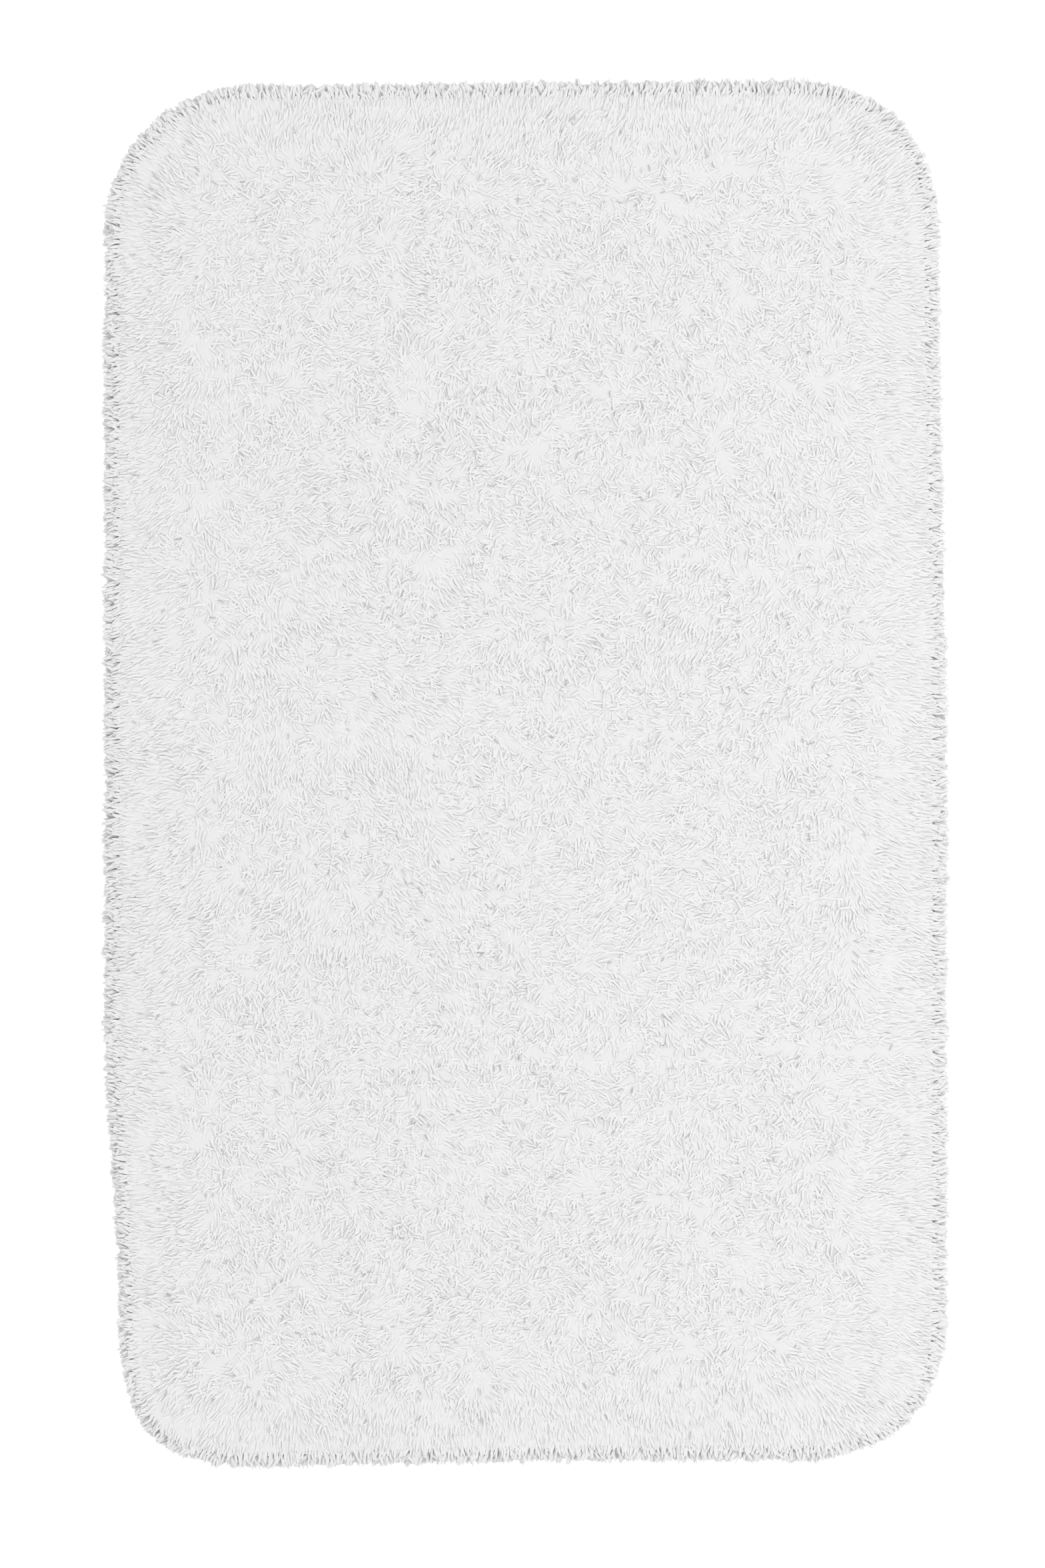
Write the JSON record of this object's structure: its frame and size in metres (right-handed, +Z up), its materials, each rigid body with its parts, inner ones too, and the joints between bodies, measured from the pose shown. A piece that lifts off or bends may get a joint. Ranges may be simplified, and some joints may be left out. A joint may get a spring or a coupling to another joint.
{
  "type": "bath mat",
  "caption": "Cut-pile bath mat with rounded corners, a hemmed cloth backing and an anti-slip latex coat underneath; its two end flaps fold over the middle for storage.",
  "frame": {"origin": "under the centre of the mat, on the surface that it lies on", "axes": "+X across the mat, +Y along its length away from the front edge, +Z up through the pile"},
  "size_m": [0.616, 1.016, 0.02],
  "materials": {
    "pile_yarn": "matte",
    "backing_cloth": "matte",
    "hem_cloth": "matte",
    "grip_latex": "satin",
    "hem_thread": "satin",
    "label_satin": "satin"
  },
  "bodies": {
    "middle": {"pile_middle": "pile_yarn", "backing_middle": "backing_cloth", "grip_middle": "grip_latex", "hem_left": "hem_cloth", "hem_right": "hem_cloth", "thread_left": "hem_thread", "thread_right": "hem_thread"},
    "front_flap": {"pile_front": "pile_yarn", "backing_front": "backing_cloth", "grip_front": "grip_latex", "hem_front": "hem_cloth", "thread_front": "hem_thread", "care_label": "label_satin", "care_label_thread": "hem_thread"},
    "back_flap": {"pile_back": "pile_yarn", "backing_back": "backing_cloth", "grip_back": "grip_latex", "hem_back": "hem_cloth", "thread_back": "hem_thread"}
  },
  "joints": [
    {"name": "front_fold", "type": "hinge", "parent": "middle", "child": "front_flap", "pos_m": [0, -0.204, 0.0203], "axis": [-1, 0, 0], "range_deg": [0, 180]},
    {"name": "back_fold", "type": "hinge", "parent": "middle", "child": "back_flap", "pos_m": [0, 0.163, 0.0318], "axis": [1, 0, 0], "range_deg": [0, 180]}
  ]
}
